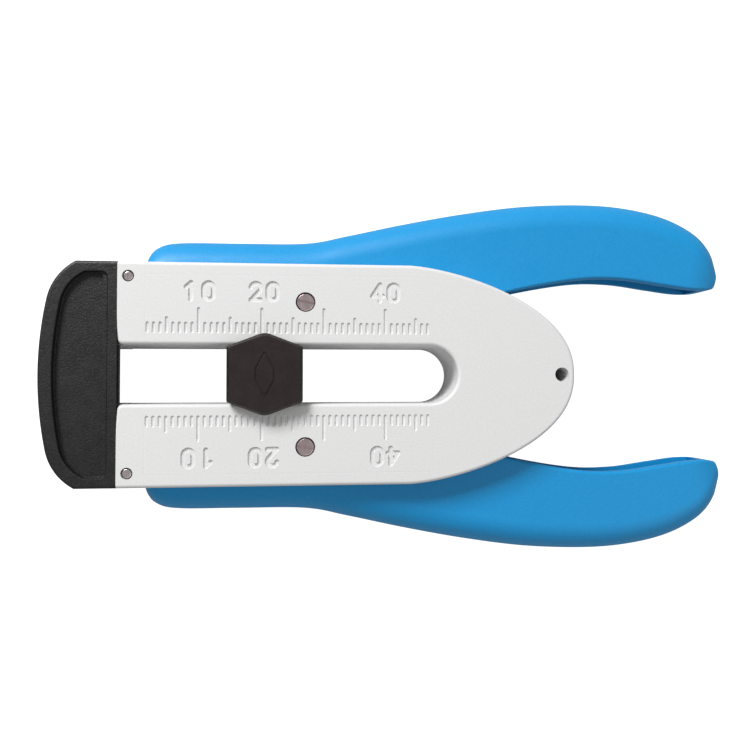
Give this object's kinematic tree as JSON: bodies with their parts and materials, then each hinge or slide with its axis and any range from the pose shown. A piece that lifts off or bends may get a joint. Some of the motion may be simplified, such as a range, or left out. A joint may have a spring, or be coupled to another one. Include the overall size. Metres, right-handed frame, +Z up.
{
  "type": "fibre stripper",
  "caption": "Flat hand tool that strips optical fibre: sprung side handles close notched blades in the head, and a sliding stop on a millimetre scale sets the length.",
  "frame": {"origin": "middle of the tool's underside, halfway between the nose of the cap and the tips of the handles", "axes": "+X along the fibre from the nose to the handle tips, +Y across the housing, +Z up out of the face with the scale"},
  "size_m": [0.1156, 0.061, 0.0205],
  "materials": {
    "housing_grey": "fine matt moulded plastic, light neutral grey",
    "cap_black": "granular matt black moulded plastic",
    "handle_blue": "satin moulded plastic, bright sky blue",
    "stop_black": "satin black moulded plastic",
    "arm_steel": "stamped spring steel",
    "blade_steel": "hardened and ground steel",
    "spring_steel": "drawn spring steel wire and strip",
    "pin_steel": "turned steel, slightly darkened",
    "brass": "turned brass",
    "ground_steel": "ground steel",
    "screw_steel": "zinc-plated steel"
  },
  "bodies": {
    "housing": {"top_shell": "housing_grey", "bottom_shell": "housing_grey", "head_cap": "cap_black", "fibre_guide": "brass", "cap_screws": "screw_steel", "tail_screw": "screw_steel", "locating_dowels": "ground_steel", "pivot_pin_left": "pin_steel", "pivot_pin_right": "pin_steel", "pivot_nuts": "brass", "return_spring_left": "spring_steel", "return_spring_right": "spring_steel"},
    "left_lever": {"handle_left": "handle_blue", "blade_arm_left": "arm_steel", "blade_left": "blade_steel", "blade_screw_left": "screw_steel", "arm_screws_left": "screw_steel", "pivot_bush_left": "brass"},
    "right_lever": {"handle_right": "handle_blue", "blade_arm_right": "arm_steel", "blade_right": "blade_steel", "blade_screw_right": "screw_steel", "arm_screws_right": "screw_steel", "pivot_bush_right": "brass"},
    "length_stop": {"stop_button": "stop_black", "stop_carrier": "stop_black", "stop_keeper": "stop_black", "stop_screws": "screw_steel", "stop_pad": "ground_steel", "stop_spring": "spring_steel"}
  },
  "joints": [
    {"name": "left_handle_hinge", "type": "hinge", "parent": "housing", "child": "left_lever", "pos_m": [-0.0161, 0.01177, 0.009], "axis": [0, 0, -1], "range_deg": [0, 3.5], "stiffness_Nm_per_rad": 4.9, "springref_deg": -1.72, "deforming": ["return_spring_left"]},
    {"name": "right_handle_hinge", "type": "hinge", "parent": "housing", "child": "right_lever", "pos_m": [-0.0161, -0.01177, 0.009], "axis": [0, 0, 1], "range_deg": [0, 3.5], "stiffness_Nm_per_rad": 4.9, "springref_deg": -1.72, "deforming": ["return_spring_right"]},
    {"name": "length_stop_slide", "type": "slide", "parent": "housing", "child": "length_stop", "axis": [1, 0, 0], "range_m": [-0.0176, 0.0259]}
  ]
}
